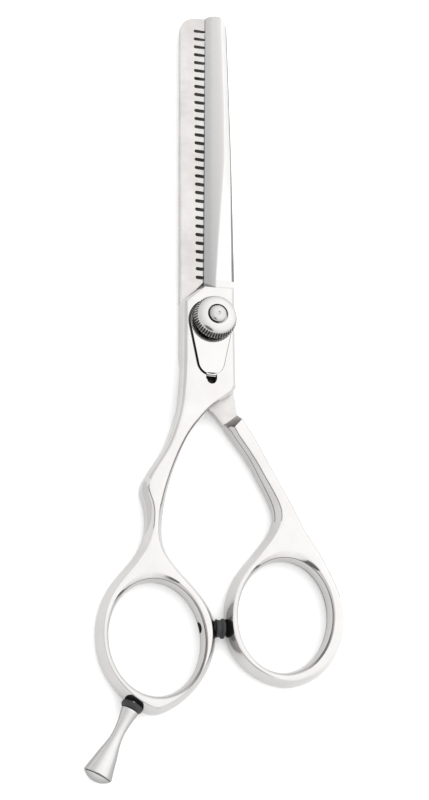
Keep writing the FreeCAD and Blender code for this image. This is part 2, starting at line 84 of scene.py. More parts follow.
FINGER_RING = [
    (-19.60, -57.50), (-22.30, -61.60), (-23.75, -66.20), (-23.95, -71.10), (-22.95, -75.80),
    (-20.60, -80.00), (-17.70, -83.00), (-14.60, -85.10), (-11.30, -86.20), (-8.40, -85.30),
    (-3.90, -82.10), (-0.60, -77.90), (1.20, -73.60), (1.80, -69.50), (1.20, -65.40),
    (-0.70, -61.70), (-4.20, -57.70)]
# The ring holes are ellipses: centre x and y, half width, half length, tilt in degrees.
FINGER_HOLE = (-11.3, -70.4, 9.85, 11.85, 7.0)
# The pair where the member steps down behind the joint.
FINGER_SHOULDER = 7
# The face that ends the ricasso: run over rise, sideways shift, and where its facet stops.
END_SLOPE = 0.72
END_SLANT = 0.85
END_SPLIT_X = 0.95
END_REACH_Y = (8.0, 11.5)

THUMB_PAIRS = [
    ((-6.60, 8.20), (5.50, 8.20)),
    ((-6.60, -7.00), (5.58, -7.00)),
    ((-5.90, -12.00), (5.70, -11.50)),
    ((-3.20, -16.60), (6.12, -15.80)),
    ((0.65, -19.80), (6.45, -18.00)),
    ((3.40, -22.90), (6.85, -20.25)),
    ((4.50, -24.45), (7.45, -21.75)),
    ((5.75, -26.20), (8.90, -24.00)),
    ((8.65, -30.10), (11.20, -27.80)),
    ((11.75, -35.50), (15.25, -34.70)),
    ((13.80, -39.40), (17.80, -38.90)),
    ((14.75, -42.70), (20.15, -42.60)),
    ((14.10, -45.60), (22.30, -45.80)),
    ((12.50, -48.20), (24.60, -48.90))]
THUMB_RING = [
    (9.00, -52.60), (6.00, -56.60), (4.35, -60.60), (3.75, -65.20), (4.20, -69.50),
    (5.75, -73.20), (8.70, -76.50), (12.60, -78.70), (16.90, -79.70), (21.50, -78.80),
    (25.60, -76.40), (28.70, -72.70), (30.40, -68.20), (30.75, -63.80), (29.80, -58.80),
    (27.90, -54.60)]
THUMB_HOLE = (16.75, -64.55, 10.05, 12.0, -7.0)
# The pairs between which the member rises in front of the joint.
THUMB_STEP = (5, 6)

# ---- blades ----
TIP_Y = 78.6
SLOT_COUNT = 31
SLOT_PITCH = 2.096
FIRST_SLOT_Y = 11.55
SLOT_WIDTH = 0.85
SLOT_ROOT_X = -2.55
SLOT_ROOT_DRIFT = -0.0115
SLOT_SLOPE = -2.0
COMB_TIP_X = 1.0

# ---- pivot ----
JOURNAL_R = 2.4
STUD_R = 1.93
HEAD_R = 4.0
PLATE_LIFT = 0.5
PLATE_THICKNESS = 0.4
PLATE_HEAD_R = 4.82
PLATE_TOE_R = 2.92
PLATE_TOE_Y = -9.35
TAB_HOLE = (0.0, -13.4, 1.1)
TAB_HOLE_FLOOR = 3.9
TAB_END_Y = -12.8
TAB_BED_Y = -13.45
WASHER_R = 4.3
TAB_HALF = 1.15
COMB_ZONE = [(-9.0, 3.6), (-3.2, 6.4), (1.06, 7.4), (1.06, 82.0), (-9.0, 82.0)]
KNURLS = 48
DIAL_BORE_R = 2.27

# ---- bumper and finger rest ----
BUMPER_Y = -67.7
BUMPER_Z = 2.7
BUMPER_START_X = 1.72
BUMPER_END_X = 3.68
REST_BASE = (-15.82, -83.99)
REST_LEAN = 26.3
REST_Z = 3.2
REST_GROOVE = (16.17, 16.39)


# ---- mesh helpers ----
def place(point):
    x, y, z = point
    return (ORIGIN[0] + x * MM, ORIGIN[1] + y * MM, z * MM)


def around_pivot(point):
    """Stands a shape turned about Z on the pivot axis."""
    x, y, z = point
    return place((x + PIVOT_AT[0], y + PIVOT_AT[1], z))


def add_object(name, points, faces, at=place):
    """Mesh object from points in millimetres, welded and with outward faces."""
    mesh = bpy.data.meshes.new(name)
    mesh.from_pydata([at(p) for p in points], [], faces)
    work = bmesh.new()
    work.from_mesh(mesh)
    bmesh.ops.remove_doubles(work, verts=work.verts, dist=2e-6)
    bmesh.ops.dissolve_degenerate(work, dist=1e-6, edges=work.edges)
    bmesh.ops.recalc_face_normals(work, faces=work.faces)
    if work.calc_volume(signed=True) < 0.0:
        bmesh.ops.reverse_faces(work, faces=work.faces)
    work.to_mesh(mesh)
    work.free()
    obj = bpy.data.objects.new(name, mesh)
    bpy.context.collection.objects.link(obj)
    return obj


def stack_faces(count, rows, base=0):
    """Side faces and end caps of a stack of closed rows, each of count points."""
    faces = [tuple(range(base, base + count))]
    for row in range(rows - 1):
        a = base + row * count
        for i in range(count):
            j = (i + 1) % count
            faces.append((a + i, a + j, a + count + j, a + count + i))
    last = base + (rows - 1) * count
    faces.append(tuple(range(last, last + count)))
    return faces


def stacked(name, rows):
    """Closed skin over rows of (x, y, z) points; all rows have the same count."""
    points = [point for row in rows for point in row]
    return add_object(name, points, stack_faces(len(rows[0]), len(rows)))


def bake_modifiers(obj):
    """Replace the object's mesh by what its modifiers make of it."""
    depsgraph = bpy.context.evaluated_depsgraph_get()
    baked = bpy.data.meshes.new_from_object(obj.evaluated_get(depsgraph))
    obj.modifiers.clear()
    obj.data = baked


def boolean(obj, cutter, operation="DIFFERENCE"):
    modifier = obj.modifiers.new("cut", "BOOLEAN")
    modifier.operation = operation
    modifier.solver = "EXACT"
    modifier.object = cutter
    bake_modifiers(obj)
    bpy.data.objects.remove(cutter, do_unlink=True)


def smooth(obj, sharp_degrees=40.0):
    """Smooth shading with crisp edges, flat faces kept flat."""
    obj.data.shade_smooth()
    obj.data.set_sharp_from_angle(angle=math.radians(sharp_degrees))
    weighted = obj.modifiers.new("weighted normals", "WEIGHTED_NORMAL")
    weighted.keep_sharp = True
    weighted.weight = 60
    return obj


def finish_piece(obj, body, material, nodes=()):
    obj.data.materials.clear()
    obj.data.materials.append(material)
    for face in obj.data.polygons:
        face.material_index = 0
    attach(obj, body)
    if nodes:
        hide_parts(*nodes)
    return obj


def paint(obj, *layers):
    """Add materials, each to the faces its chosen(x, y, z, normal) picks; x, y, z in mm."""
    for material, chosen in layers:
        obj.data.materials.append(material)
        slot = len(obj.data.materials) - 1
        for face in obj.data.polygons:
            x, y, z = face.center
            if chosen((x - ORIGIN[0]) / MM, (y - ORIGIN[1]) / MM, z / MM, face.normal):
                face.material_index = slot


def prism(name, outline, low, high):
    """Upright prism over a closed outline of (x, y) points."""
    return stacked(name, [[(x, y, z) for x, y in outline] for z in (low, high)])


def circle(radius, x=0.0, y=0.0, count=64):
    return [(x + radius * math.cos(2 * math.pi * i / count),
             y + radius * math.sin(2 * math.pi * i / count)) for i in range(count)]


def turned_mesh(name, profile, segments, at=place, ripple=None, hollow=False):
    """Solid of revolution from (radius, height) pairs; ripple(row, angle) cuts knurls."""
    points = []
    for row, (radius, height) in enumerate(profile):
        for i in range(segments):
            angle = 2 * math.pi * i / segments
            r = radius - (ripple(row, angle) if ripple else 0.0)
            points.append((r * math.cos(angle), r * math.sin(angle), height))
    faces = stack_faces(segments, len(profile))
    if hollow:
        last = (len(profile) - 1) * segments
        inner = []
        for i in range(segments):
            j = (i + 1) % segments
            inner.append((last + i, last + j, j, i))
        faces = faces[1:-1] + inner
    return add_object(name, points, faces, at)


# ---- curves ----
def natural_spline(points):
    """Function (interval, t) -> point on the natural cubic through the points."""
    p = np.array(points, float)
    h = np.linalg.norm(np.diff(p, axis=0), axis=1)
    count = len(p)
    matrix = np.zeros((count, count))
    right = np.zeros((count, 2))
    matrix[0, 0] = 1.0
    matrix[-1, -1] = 1.0
    for i in range(1, count - 1):
        matrix[i, i - 1] = h[i - 1]
        matrix[i, i] = 2.0 * (h[i - 1] + h[i])
        matrix[i, i + 1] = h[i]
        right[i] = 6.0 * ((p[i + 1] - p[i]) / h[i] - (p[i] - p[i - 1]) / h[i - 1])
    bend = np.linalg.solve(matrix, right)

    def at(k, t):
        s = t * h[k]
        r = h[k] - s
        cubic = (bend[k] * r ** 3 + bend[k + 1] * s ** 3) / (6.0 * h[k])
        return (cubic + (p[k] / h[k] - bend[k] * h[k] / 6.0) * r
                + (p[k + 1] / h[k] - bend[k + 1] * h[k] / 6.0) * s)
    return at


def chained_curve(points, corners):
    """Spline through the points that may turn sharply at the listed corners."""
    stops = sorted({0, len(points) - 1} | set(corners))
    pieces = {}
    for start, end in zip(stops, stops[1:]):
        spline = natural_spline(points[start:end + 1])
        for k in range(start, end):
            pieces[k] = (spline, k - start)

    def at(k, t):
        spline, local = pieces[k]
        return spline(local, t)
    return at


def ellipse_point(hole, angle, grow):
    """Point of a ring hole's ellipse, widened by grow; 90 degrees is its top."""
    x, y, half_width, half_length, tilt = hole
    a = math.radians(angle)
    u = (half_width + grow) * math.cos(a)
    v = (half_length + grow) * math.sin(a)
    c, s = math.cos(math.radians(tilt)), math.sin(math.radians(tilt))
    return np.array((x + u * c - v * s, y + u * s + v * c))


def ease(value):
    """Smooth step from 0 to 1."""
    value = min(1.0, max(0.0, value))
    return value * value * (3.0 - 2.0 * value)


def toward(value, goal, share):
    return value + (goal - value) * ease(share)


def unit(vector):
    return vector / np.linalg.norm(vector)


def inward_at(points, i):
    """Inward normal at point i of an open line, longer at corners and level at both ends."""
    after = points[min(len(points) - 1, i + 1)]
    into = points[i] - points[i - 1] if i else after - points[i]
    out = after - points[i] if i < len(points) - 1 else into
    into = unit(into)
    along = unit(into + unit(out))
    miter = 1.0 / max(0.6, float(np.dot(along, into)))
    inward = np.array((-along[1], along[0])) * miter
    if i in (0, len(points) - 1):
        inward = np.array((1.0 / inward[0], 0.0))
    return inward


def crown_height(y):
    """Height of a handle's front: level at the ricasso, lower at the ring."""
    fall = ease((CROWN_START_Y - y) / (CROWN_START_Y - CROWN_END_Y))
    return RICASSO_TOP + (RING_TOP - RICASSO_TOP) * fall


# ---- handles ----
STATION_STEP = 0.55
# How far the rims round a ring hole reach past it, at the front and at the back.
FRONT_LIP = 0.95
BACK_LIP = 0.9


class Handle:
    """Skin of a ricasso, shank and ring, built from sections along the outline."""

    def __init__(self, pairs, ring, hole, corners, top, bottom, bevel, web, lean, shoulder=None,
                 end_slant=0.0):
        left = [pair[0] for pair in pairs]
        right = [pair[1] for pair in pairs]
        self.last = len(pairs) - 1
        self.outline = left + ring + right[::-1]
        self.total = len(self.outline) - 1
        self.curve = chained_curve(self.outline, corners)
        self.hole = hole
        self.top = top
        self.bottom = bottom
        self.bevel = bevel
        self.web = web
        self.lean = lean
        self.shoulder = shoulder
        self.end_slant = end_slant
        self.start_angle = self.hole_angle(self.outline[self.last])
        self.end_angle = self.hole_angle(self.outline[self.total - self.last]) + 360.0

    def steps(self, k):
        """How many stations interval k of the outline gets; mirrored intervals agree."""
        mirror = self.total - 1 - k
        here = np.linalg.norm(np.subtract(self.outline[k + 1], self.outline[k]))
        there = np.linalg.norm(np.subtract(self.outline[mirror + 1], self.outline[mirror]))
        on_shank = k < self.last or mirror < self.last
        length = max(here, there) if on_shank else here
        return max(3, int(round(length / STATION_STEP)))

    def web_grow(self, angle):
        """Width of the inner bevel: wider at the top of the hole, where the shank joins."""
        upper = max(0.0, math.sin(math.radians(angle)))
        return FRONT_LIP + (self.web - FRONT_LIP) * upper ** 6

    def hole_angle(self, point):
        """Direction in degrees from the middle of the hole, counted in its own tilt."""
        x, y = np.subtract(point, self.hole[:2])
        return math.degrees(math.atan2(y, x)) - self.hole[4]

    def inner_angle(self, k, t):
        """Angle on the hole for a station on the ring, easing into the top at both ends."""
        angle = self.hole_angle(self.curve(k, t))
        while angle < self.start_angle - 1e-6:
            angle += 360.0
        known = [self.start_angle, self.start_angle + 26, self.start_angle + 52,
                 self.end_angle - 52, self.end_angle - 26, self.end_angle]
        shift_low = 90.0 - self.start_angle
        shift_high = 450.0 - self.end_angle
        shift = [shift_low, 0.3 * shift_low, 0.0, 0.0, 0.3 * shift_high, shift_high]
        return angle + float(np.interp(angle, known, shift))

    def partners(self, k, t):
        """Place along the shank, front and back inner point, and angle if on the ring."""
        u = k + t
        on_left = u <= self.last
        if not on_left and u < self.total - self.last:
            angle = self.inner_angle(k, t)
            front = ellipse_point(self.hole, angle, self.web_grow(angle))
            return self.last + 1.0, front, ellipse_point(self.hole, angle, BACK_LIP), angle
        v = u if on_left else self.total - u
        kk = min(int(v), self.last - 1)
        tt = v - kk
        middle = 0.5 * (self.curve(kk, tt) + self.curve(self.total - 1 - kk, 1.0 - tt))
        middle_end = 0.5 * (self.curve(self.last - 1, 1.0)
                            + self.curve(self.total - self.last, 0.0))
        front_end = ellipse_point(self.hole, 90.0, self.web_grow(90.0))
        back_end = ellipse_point(self.hole, 90.0, BACK_LIP)
        blend = ease(v - self.last + 1.0)
        front = middle + (front_end - middle_end) * blend
        back = middle + (back_end - middle_end) * blend
        return v, front, back, None

    def stations(self):
        """Outline points with their inward normals and inner partners."""
        rows = []
        for k in range(self.total):
            count = self.steps(k)
            for i in range(count):
                rows.append((k, i / count))
        rows.append((self.total - 1, 1.0))
        points = [self.curve(k, t) for k, t in rows]
        found = []
        for i, (k, t) in enumerate(rows):
            v, front, back, angle = self.partners(k, t)
            found.append((k + t, v, points[i], inward_at(points, i), front, back, angle))
        return found

    def section(self, station, low_side):
        """One section: points from the back inner line round the outside to the front one."""
        u, v, outer, inward, front, back, angle = station
        top = self.top(v, outer[1])
        bottom, foot, rise = self.bottom(v, low_side)
        width, depth, dish = self.bevel(u, v)
        side_top = top - depth
        rise = min(rise, 0.9 * (side_top - bottom))
        lean = min(self.lean, 0.5 * width)

        def at(offset, z):
            x, y = outer + inward * offset
            return (x, y, z)
        slope = width - lean
        crest = outer + inward * (width + 0.10)
        line = [(back[0], back[1], bottom)]
        for degrees in (0, 25, 50, 72, 90):
            a = math.radians(degrees)
            line.append(at(foot * (1.0 - math.sin(a)), bottom + rise * (1.0 - math.cos(a))))
        line += [
            at(lean, side_top),
            at(lean + 0.10 * slope, side_top + 0.14 * depth),
            at(lean + 0.5 * slope + dish, side_top + 0.55 * depth - 0.5 * dish),
            at(width - 0.05, top - 0.09),
            (crest[0], crest[1], self.top(v, crest[1]) - 0.02)]
        for part in (0.35, 0.7, 1.0):
            x, y = crest + (front - crest) * part
            line.append((x, y, self.top(v, y)))
        if u < 1e-9 or u > self.total - 1e-9:
            slant = self.end_slant if u < 1e-9 else 0.0
            line = [line[0]] + [self.end_point(p, top, slant) for p in line[1:]]
            line[0] = self.end_point(line[0], top, 0.0)
        return line

    def end_point(self, point, top, slant):
        """Point of an end section, moved onto the sloping face that ends the ricasso."""
        x, y, z = point
        reach = END_SLOPE * (top - z)
        return (x + slant * reach, self.outline[0][1] + reach, z)

    def build(self, name):
        """Closed skin; the section at the shoulder is doubled, with both undersides."""
        points = []
        faces = []
        sections = []
        for station in self.stations():
            u = station[0]
            sides = (None,)
            if self.shoulder is not None and min(abs(u - self.shoulder),
                                                 abs(self.total - u - self.shoulder)) < 1e-9:
                sides = (False, True) if u < 0.5 * self.total else (True, False)
            for low_side in sides:
                sections.append((station, self.section(station, low_side)))
        rows = len(sections[0][1])
        for _, line in sections:
            points.extend(line)
        for s in range(len(sections) - 1):
            for r in range(rows - 1):
                a = s * rows + r
                b = (s + 1) * rows + r
                faces.append((a, b, b + 1, a + 1))
        first = list(range(rows))
        last = list(range((len(sections) - 1) * rows, len(sections) * rows))
        faces.append(tuple(first + last[::-1]))
        self.add_wall(sections, rows, points, faces)
        return add_object(name, points, faces)

    def add_wall(self, sections, rows, points, faces):
        """Inner wall of the ring, from the front inner line to the back one."""
        columns = []
        for index, (station, line) in enumerate(sections):
            u, v, angle = station[0], station[1], station[6]
            if angle is None and abs(v - self.last) < 1e-9:
                angle = 90.0 if u < 0.5 * self.total else 450.0
            if angle is None:
                continue
            top = line[-1][2]
            column = [index * rows + rows - 1]
            for grow, z in ((0.62, top - 0.42), (0.52, top - 0.60), (0.26, top - 1.3),
                            (0.06, top - 2.1), (0.0, 0.5 * top), (0.05, 2.1), (0.25, 1.3),
                            (0.55, 0.5), (0.8, 0.12)):
                x, y = ellipse_point(self.hole, angle, grow)
                points.append((x, y, z))
                column.append(len(points) - 1)
            column.append(index * rows)
            columns.append(column)
        for one, two in zip(columns, columns[1:]):
            for r in range(len(one) - 1):
                faces.append((one[r], two[r], two[r + 1], one[r + 1]))


def table(values):
    """Function that interpolates (position, value) pairs."""
    where = [pair[0] for pair in values]
    what = [pair[1] for pair in values]
    return lambda position: float(np.interp(position, where, what))


FINGER_LEFT_WIDTH = table([(0, 1.0), (3, 1.05), (6, 0.9), (8, 0.95), (10, 1.15), (12, 1.4),
                           (13.3, 1.7), (14.3, 1.6), (15, 1.45), (17, 1.25), (19, 1.25)])
FINGER_RIGHT_WIDTH = table([(0, 0.95), (3.5, 0.95), (5, 0.55), (7, 0.5), (9, 0.75), (11, 0.95),
                            (13, 1.2), (15, 1.25), (17, 1.25)])
FINGER_DISH = table([(10.8, 0.0), (12.2, 0.22), (14.0, 0.30), (15.0, 0.15), (16.5, 0.0)])
THUMB_RIGHT_WIDTH = table([(0, 0.12), (5, 0.12), (6, 0.5), (8, 0.4), (11, 0.45), (14, 0.9)])
# Height, width and rise of the rounding where a handle's side meets its underside.
ROUND_FOOT = (0.0, 1.2, 2.3)
RIDE_FOOT = (JOINT_PLANE + RIDE_GAP, 0.08, 0.08)
RING_BEVEL = 1.3
RING_BEVEL_DEPTH = 2.2
RING_WIDTH = table([(0.0, 1.3), (1.0, 1.1)])
THUMB_WIDTH = table([(0, 0.12), (5, 0.12), (6, 0.8), (7, 0.6), (8, 0.55), (9, 0.8), (11, 1.25)])
THUMB_DEPTH = table([(0, 0.33), (5, 0.33), (6, 2.0), (11, 2.4)])


def make_finger_handle():
    """Cutting member: handle, ricasso and blade, with its recess, holes and seats cut."""
    ring_turns = len(FINGER_RING) + 1
    last = len(FINGER_PAIRS) - 1

    def top(v, y):
        return crown_height(y)

    def bottom(v, low_side):
        over_joint = v < FINGER_SHOULDER if low_side is None else not low_side
        return RIDE_FOOT if over_joint else ROUND_FOOT

    def bevel(u, v):
        share = (v - last + 3.0) / 3.0
        if v > last:
            return RING_BEVEL, RING_BEVEL_DEPTH, 0.0
        width = FINGER_LEFT_WIDTH(u) if u <= last else FINGER_RIGHT_WIDTH(v)
        dish = FINGER_DISH(u) if u <= last else 0.0
        return (toward(width, RING_BEVEL, share), toward(1.15 * width, RING_BEVEL_DEPTH, share),
                dish)

    total = 2 * last + ring_turns
    corners = [1, 2, total - 4, total - 3]
    handle = Handle(FINGER_PAIRS, FINGER_RING, FINGER_HOLE, corners, top, bottom, bevel,
                    web=1.6, lean=0.12, shoulder=FINGER_SHOULDER, end_slant=END_SLANT)
    body = handle.build("cutting_member_skin")
    boolean(body, make_cutting_blade(), "UNION")
    low = RICASSO_TOP - PLATE_LIFT
    tab_x, tab_y, tab_r = TAB_HOLE
    boolean(body, prism("pocket", pocket_outline(), low - 0.5, ABOVE))
    boolean(body, prism("tab hole", circle(tab_r, tab_x, tab_y), TAB_HOLE_FLOOR, ABOVE))
    boolean(body, prism("bolt hole", circle(STUD_R + 0.3, *PIVOT_AT), 2.0, ABOVE))
    stem = turned_mesh("stem hole", [(1.2, -6.0), (1.2, -0.7), (0.87, -0.7), (0.87, 6.0)], 48,
                       at=across_bumper)
    boolean(body, stem)
    boolean(body, turned_mesh("rest seat", [(2.40, 0.0), (2.40, 4.0)], 64, at=along_rest))
    split_end(body)
    return smooth(body, 36.0)


def split_end(obj):
    """Divide the face that ends the ricasso, so that its facet can take painted shade."""
    mesh = bmesh.new()
    mesh.from_mesh(obj.data)
    near = []
    for face in mesh.faces:
        y = (face.calc_center_median().y - ORIGIN[1]) / MM
        if END_REACH_Y[0] - 0.5 < y < END_REACH_Y[1]:
            near.append(face)
    parts = near + list({edge for face in near for edge in face.edges})
    parts += list({vert for face in near for vert in face.verts})
    bmesh.ops.bisect_plane(mesh, geom=parts, plane_co=place((END_SPLIT_X, 0.0, 0.0)),
                           plane_no=(1.0, 0.0, 0.0), dist=1e-7)
    mesh.to_mesh(obj.data)
    mesh.free()


def make_thumb_handle():
    """Toothed member, as two pieces: the polished handle and the satin toothed blade."""
    ring_turns = len(THUMB_RING) + 1
    last = len(THUMB_PAIRS) - 1
    step_start, step_end = THUMB_STEP

    def top(v, y):
        rise = min(1.0, max(0.0, (v - step_start) / (step_end - step_start)))
        return JOINT_PLANE + (crown_height(y) - JOINT_PLANE) * rise

    def bottom(v, low_side):
        return ROUND_FOOT

    def bevel(u, v):
        if v > last:
            return RING_WIDTH(u / total), RING_BEVEL_DEPTH, 0.0
        share = (v - last + 3.0) / 3.0
        on_left = u <= last
        width = THUMB_WIDTH(v) if on_left else THUMB_RIGHT_WIDTH(v)
        depth = THUMB_DEPTH(v) if on_left else 0.1 + 1.9 * width
        return (toward(width, RING_WIDTH(u / total), share),
                toward(depth, RING_BEVEL_DEPTH, share), 0.0)

    total = 2 * last + ring_turns
    corners = [1, total - 1]
    handle = Handle(THUMB_PAIRS, THUMB_RING, THUMB_HOLE, corners, top, bottom, bevel,
                    web=1.75, lean=0.28)
    body = handle.build("toothed_member_skin")
    boolean(body, make_toothed_blade(), "UNION")
    boolean(body, prism("head pocket", circle(HEAD_R + 0.08, *PIVOT_AT, 96), BELOW, 1.2))
    boolean(body, prism("washer pocket", circle(WASHER_R + 0.1, *PIVOT_AT, 96), 2.70, 5.0))
    boolean(body, prism("journal hole", circle(JOURNAL_R + 0.05, *PIVOT_AT, 96), BELOW, 5.0))
    comb = body.copy()
    comb.data = body.data.copy()
    comb.name = "toothed_blade_skin"
    bpy.context.collection.objects.link(comb)
    boolean(comb, prism("comb zone", COMB_ZONE, BELOW, 5.0), "INTERSECT")
    boolean(body, prism("handle zone", COMB_ZONE, BELOW, 5.0))
    return smooth(body, 36.0), smooth(comb, 36.0)


# ---- blades ----
BLADE_START_Y = 8.2
RIDGE_X = table([(6, 0.9), (20, 1.8), (33, 2.75), (41, 3.25), (54, 3.2), (75, 2.7)])
RIDGE_Z = table([(6, 5.7), (20, 5.4), (41, 5.35), (79, 4.55)])
SPINE_X = table([(6, 5.60), (41, 5.10), (74.5, 4.20), (80, 4.1)])
SPINE_Z = table([(6, 5.15), (41, 4.45), (79, 3.9)])
# The rounded tip: its middle, half width, and how far its curve and its corner reach back.
TIP_MIDDLE_X = 1.35
TIP_HALF = 2.9
TIP_ROUND = 4.3
TIP_CORNER = 0.9
TIP_CORNER_HALF = 2.35


def blade_edge(y):
    """Position (x, z) of the cutting edge."""
    along = (y - BLADE_START_Y) / (TIP_Y - BLADE_START_Y)
    return -1.15 + 0.25 * along, 3.75 - 0.25 * along


def blade_limits(y):
    """Left and right edge of the cutting blade at a distance along it."""
    left = blade_edge(y)[0]
    right = max(SPINE_X(y), SPINE_X(74.5))
    rise = TIP_Y - y
    if rise < TIP_ROUND:
        share = 1.0 - (1.0 - rise / TIP_ROUND) ** 2.6
        right = min(right, TIP_MIDDLE_X + TIP_HALF * math.sqrt(max(0.0, share)))
    if rise < TIP_CORNER:
        share = 1.0 - (1.0 - rise / TIP_CORNER) ** 2
        left = max(left, TIP_MIDDLE_X - TIP_CORNER_HALF * math.sqrt(max(0.0, share)))
    return left, max(right, left + 0.25)


def blade_profile(y):
    """Front surface of the cutting blade: (x, z) from the cutting edge to the spine."""
    edge_x, edge_z = blade_edge(y)
    ridge_x, ridge_z = RIDGE_X(y), RIDGE_Z(y)
    line = [(edge_x, edge_z)]
    for part in (0.12, 0.3, 0.5, 0.7, 0.88, 1.0):
        line.append((edge_x + (ridge_x - edge_x) * part,
                     edge_z + (ridge_z - edge_z) * (1.0 - (1.0 - part) ** 1.2)))
    for part in (0.08, 0.35, 0.7, 0.86, 1.0):
        line.append((ridge_x + (SPINE_X(y) - ridge_x) * part,
                     ridge_z + (SPINE_Z(y) - ridge_z) * part ** 1.25))
    return line


def blade_stations():
    """Distances along the cutting blade, closer together towards the tip."""
    body = list(np.arange(6.0, 73.5, 1.5))
    tip = [TIP_Y - 5.2 * (1 - i / 34) ** 1.8 for i in range(35)]
    return [float(y) for y in body] + tip


def make_cutting_blade():
    flat = JOINT_PLANE + RIDE_GAP
    rows = []
    for y in blade_stations():
        left, right = blade_limits(y)
        xs, zs = zip(*blade_profile(y))
        line = []
        for x in xs:
            clamped = min(max(x, left), right)
            line.append((clamped, y, float(np.interp(clamped, xs, zs))))
        start, end = line[0], line[-1]
        inset = min(0.12, 0.3 * (end[0] - start[0]))
        under = [(end[0], y, end[2] - 0.25), (end[0], y, flat + 0.12), (end[0] - inset, y, flat),
                 (0.5 * (start[0] + end[0]), y, flat + 0.02), (start[0] + 0.02, y, flat)]
        rows.append(line + under)
    return stacked("cutting_blade", rows)


def comb_outline():
    """Outline of the toothed blade with its rounded tip."""
    root_y = 6.2
    tip = [(-7.05, 74.0), (-6.90, 75.0), (-6.50, 76.0), (-5.70, 76.95), (-4.60, 77.55),
           (-3.30, 77.9), (-0.90, 78.15), (COMB_TIP_X, 78.0)]
    return [(-6.6, root_y)] + tip + [(COMB_TIP_X, root_y)]


def comb_sections():
    """Cross-sections of the toothed blade before its outline and slots are cut."""
    sections = []
    for y, left, spine, belly_x, belly, tip in ((6.2, -6.62, 1.9, -4.6, 0.35, 2.1),
                                                (TIP_Y + 1, -7.15, 2.3, -5.5, 1.8, 2.7)):
        top = JOINT_PLANE
        sections.append([
            (COMB_TIP_X + 0.2, y, top), (left + 0.42, y, top), (left - 0.1, y, top - 0.22),
            (left - 0.1, y, spine), (belly_x, y, belly), (-2.9, y, belly + 0.2),
            (COMB_TIP_X + 0.2, y, tip)])
    return sections


def make_toothed_blade():
    blade = stacked("toothed_blade", comb_sections())
    boolean(blade, prism("comb outline", comb_outline(), BELOW, 6.0), "INTERSECT")
    boolean(blade, comb_cutter())
    return blade


def comb_cutter():
    """All the slots between the teeth, as one cutter."""
    points = []
    faces = []
    half = 0.5 * SLOT_WIDTH
    arc = [(-half * math.sin(math.pi * i / 12), half * math.cos(math.pi * i / 12))
           for i in range(13)]
    shape = arc + [(6.0, -half), (6.0, half)]
    turn = math.radians(SLOT_SLOPE)
    for index in range(SLOT_COUNT):
        y = FIRST_SLOT_Y + index * SLOT_PITCH
        x = SLOT_ROOT_X + SLOT_ROOT_DRIFT * (y - FIRST_SLOT_Y)
        base = len(points)
        for z in (BELOW, 5.0):
            for px, py in shape:
                points.append((x + px * math.cos(turn) - py * math.sin(turn),
                               y + px * math.sin(turn) + py * math.cos(turn), z))
        faces += stack_faces(len(shape), 2, base)
    return add_object("comb cutter", points, faces)


# ---- pivot pieces ----
def teardrop(gap):
    """Head arc and toe arc of the tension plate, widened by gap(side): side runs from -1 at
    the left to 1 at the right."""
    slope = math.asin((PLATE_HEAD_R - PLATE_TOE_R) / -PLATE_TOE_Y)
    head = []
    for i in range(49):
        a = -slope + (math.pi + 2 * slope) * i / 48
        r = PLATE_HEAD_R + gap(math.cos(a))
        head.append((r * math.cos(a), r * math.sin(a)))
    toe = []
    for i in range(33):
        a = math.pi + slope + (math.pi - 2 * slope) * i / 32
        r = PLATE_TOE_R + gap(math.cos(a))
        toe.append((r * math.cos(a), PLATE_TOE_Y + r * math.sin(a)))
    return head, toe


def plate_outline(grow):
    head, toe = teardrop(lambda side: grow)
    return head + toe


def pocket_outline():
    """Recess for the plate and its tab: the gap shows on the left and closes on the right."""
    head, toe = teardrop(pocket_gap)
    wide = TAB_HALF + 0.15
    snug = TAB_HALF + 0.04
    left = [point for point in toe if point[0] < -wide]
    right = [point for point in toe if point[0] > wide]
    bed = [(-wide, left[-1][1] - 0.02), (-wide, TAB_BED_Y), (snug, TAB_BED_Y),
           (snug, right[0][1] - 0.02)]
    return head + left + bed + right


def pocket_gap(side):
    """Gap round the plate: 0.58 at the left, nearly none at the right."""
    return 0.02 + 0.56 * ease(0.35 - 1.1 * side)


def make_tension_plate():
    low = RICASSO_TOP - PLATE_LIFT
    high = low + PLATE_THICKNESS
    levels = [(-0.06, low), (0.0, low + 0.05), (0.0, high - 0.07), (-0.07, high)]
    plate = stacked("tension_plate_skin", [
        [(x, y, z) for x, y in plate_outline(grow)] for grow, z in levels])
    boolean(plate, prism("stud hole", circle(STUD_R + 0.03, *PIVOT_AT), 0.0, 10.0))
    smooth(plate, 50.0)
    tab = make_tab(low, high)
    return plate, tab


def make_tab(low, high):
    """Short tab that steps down and ends over the round hole."""
    end = TAB_END_Y
    path = [(end + 0.90, high), (end + 0.50, high), (end + 0.38, high - 0.03),
            (end + 0.30, high - 0.15), (end + 0.22, high - 0.18), (end + 0.09, high - 0.19),
            (end + 0.01, high - 0.25), (end, low - 0.30), (end + 0.25, low - 0.30),
            (end + 0.30, low), (end + 0.90, low)]
    rows = []
    for x, shrink in ((-TAB_HALF, 0.03), (0.06 - TAB_HALF, 0.0), (TAB_HALF - 0.06, 0.0),
                      (TAB_HALF, 0.03)):
        rows.append([(x, y + shrink, z - shrink) for y, z in path])
    return smooth(stacked("plate_tab", rows), 50.0)


